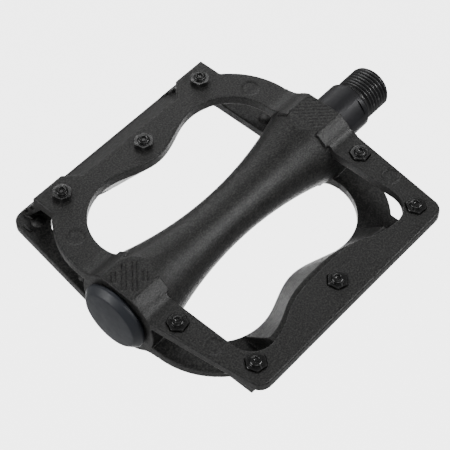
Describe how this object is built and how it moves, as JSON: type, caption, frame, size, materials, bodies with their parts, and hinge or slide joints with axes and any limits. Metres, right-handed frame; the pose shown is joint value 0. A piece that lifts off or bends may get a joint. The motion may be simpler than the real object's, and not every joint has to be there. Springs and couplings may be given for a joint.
{
  "type": "flat pedal",
  "caption": "Flat bicycle pedal with a moulded two-plate platform, screw-in traction pins and a dust cap, turning on a threaded steel spindle.",
  "frame": {"origin": "on the spindle axis, at the shoulder that seats against the crank arm", "axes": "+X along the spindle out of its threaded end, towards the crank; +Y across the platform; +Z out of one tread face"},
  "size_m": [0.1214, 0.1, 0.0248],
  "materials": {
    "platform": "fine moulded grain",
    "cap": "smooth satin",
    "spindle": "black oxide, satin",
    "pin": "black oxide, worn edges",
    "race": "ground",
    "ball": "polished",
    "seal": "matt"
  },
  "bodies": {
    "spindle": {"spindle": "spindle", "outboard_cone": "race", "lock_washer": "race", "lock_nut": "race"},
    "cage": {"pedal_body": "platform", "inboard_cup": "race", "outboard_cup": "race", "inboard_seal": "seal", "dust_cap": "cap", "pin_top_arch_outboard": "pin", "pin_top_arch_middle": "pin", "pin_top_arch_inboard": "pin", "pin_top_arm_outboard": "pin", "pin_top_corner_outboard": "pin", "pin_top_edge_middle": "pin", "pin_top_corner_inboard": "pin", "pin_top_arm_inboard": "pin", "pin_bottom_arch_outboard": "pin", "pin_bottom_arch_middle": "pin", "pin_bottom_arch_inboard": "pin", "pin_bottom_arm_outboard": "pin", "pin_bottom_corner_outboard": "pin", "pin_bottom_edge_middle": "pin", "pin_bottom_corner_inboard": "pin", "pin_bottom_arm_inboard": "pin"},
    "inboard_ring": {"inboard_balls": "ball"},
    "outboard_ring": {"outboard_balls": "ball"}
  },
  "joints": [
    {"name": "body_spin", "type": "hinge", "parent": "spindle", "child": "cage", "pos_m": [0, 0, 0], "axis": [1, 0, 0], "continuous": true},
    {"name": "inboard_roll", "type": "hinge", "parent": "spindle", "child": "inboard_ring", "pos_m": [-0.0191, 0, 0], "axis": [1, 0, 0], "continuous": true},
    {"name": "outboard_roll", "type": "hinge", "parent": "spindle", "child": "outboard_ring", "pos_m": [-0.0972, 0, 0], "axis": [1, 0, 0], "continuous": true}
  ],
  "couplings": [
    {"joint": "inboard_roll", "follows": "body_spin", "ratio": 0.586},
    {"joint": "outboard_roll", "follows": "body_spin", "ratio": 0.6}
  ]
}
